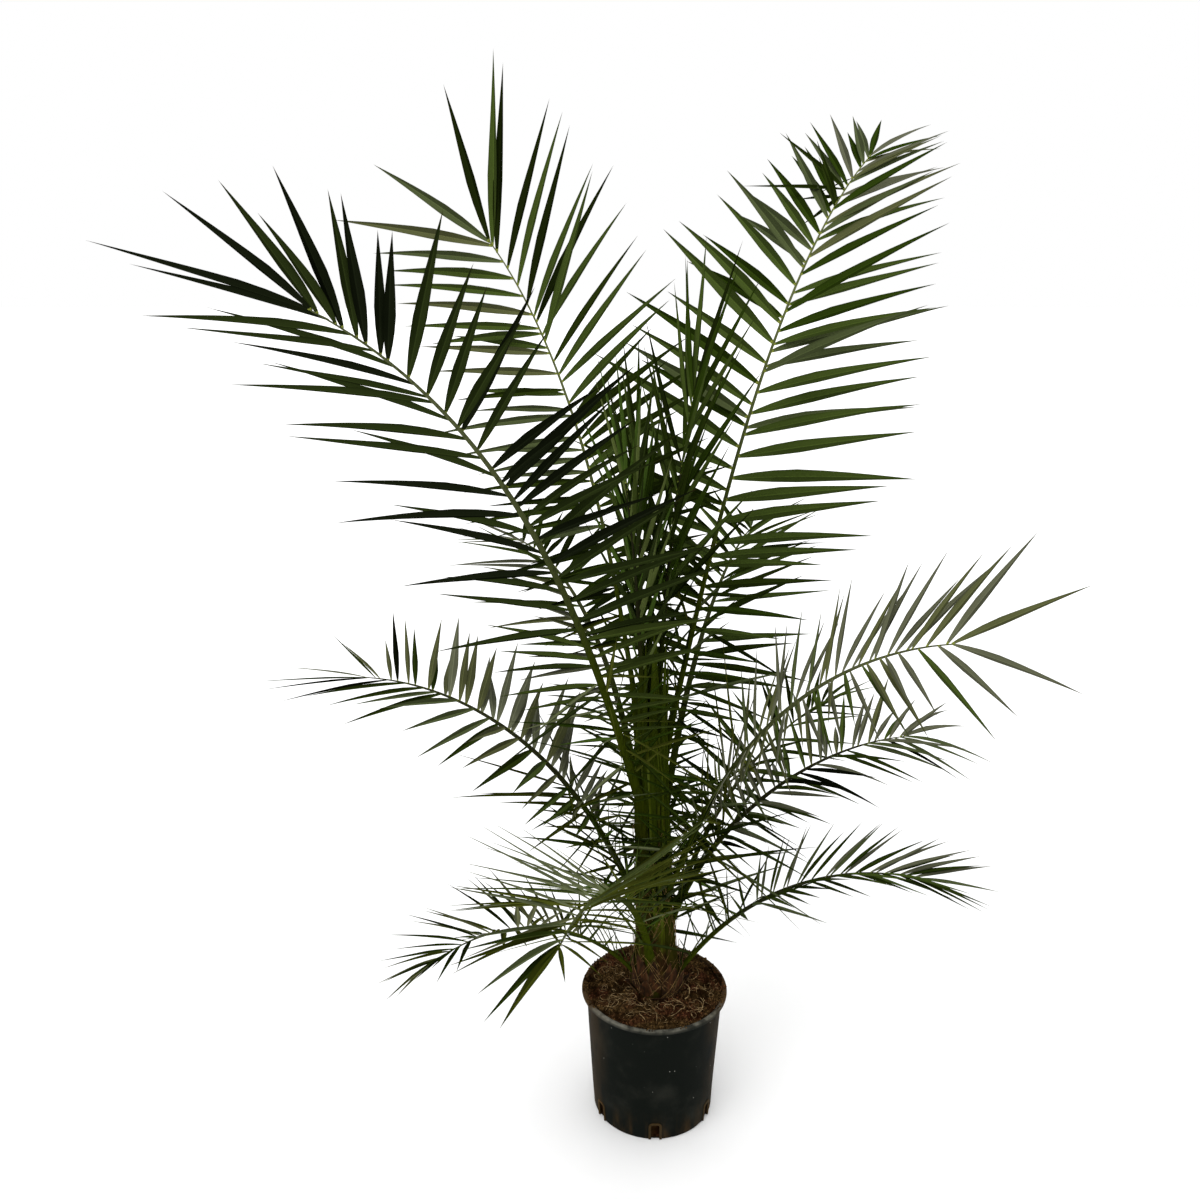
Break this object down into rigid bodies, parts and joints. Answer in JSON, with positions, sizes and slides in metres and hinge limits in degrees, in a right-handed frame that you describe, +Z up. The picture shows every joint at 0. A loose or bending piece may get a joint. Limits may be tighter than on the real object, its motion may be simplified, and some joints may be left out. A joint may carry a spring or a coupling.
{
  "type": "potted canary island date palm",
  "caption": "Young feather palm in a round black nursery pot: a short stem of packed leaf bases carries arching fronds with stiff pointed leaflets.",
  "frame": {"origin": "centre of the pot's flat underside, where it stands on the floor", "axes": "+Z up along the pot's axis, +X to the right as the picture shows the plant, +Y away from the camera"},
  "size_m": [1.4323, 1.5404, 2.0193],
  "materials": {
    "pot": "matte black moulded plastic, dusty at the rim",
    "soil": "loose dark brown compost with pale root fibres",
    "stem": "green leaf bases with brown fibre between them",
    "frond": "satin dark green leaflets on a paler rib"
  },
  "bodies": {
    "root": {"pot": "pot", "soil": "soil", "stem": "stem", "frond_front_left_high": "frond", "frond_back_left_high": "frond", "frond_back_right_high": "frond", "frond_right_middle": "frond", "frond_right_lower": "frond", "frond_right_low": "frond", "frond_left_middle": "frond", "frond_front_low": "frond", "frond_left_low": "frond", "frond_back_left_middle": "frond", "frond_back_right_middle": "frond", "frond_back_right_low": "frond", "frond_back_low": "frond", "frond_centre_back": "frond", "frond_centre_front": "frond", "spear_centre": "frond"}
  },
  "joints": []
}
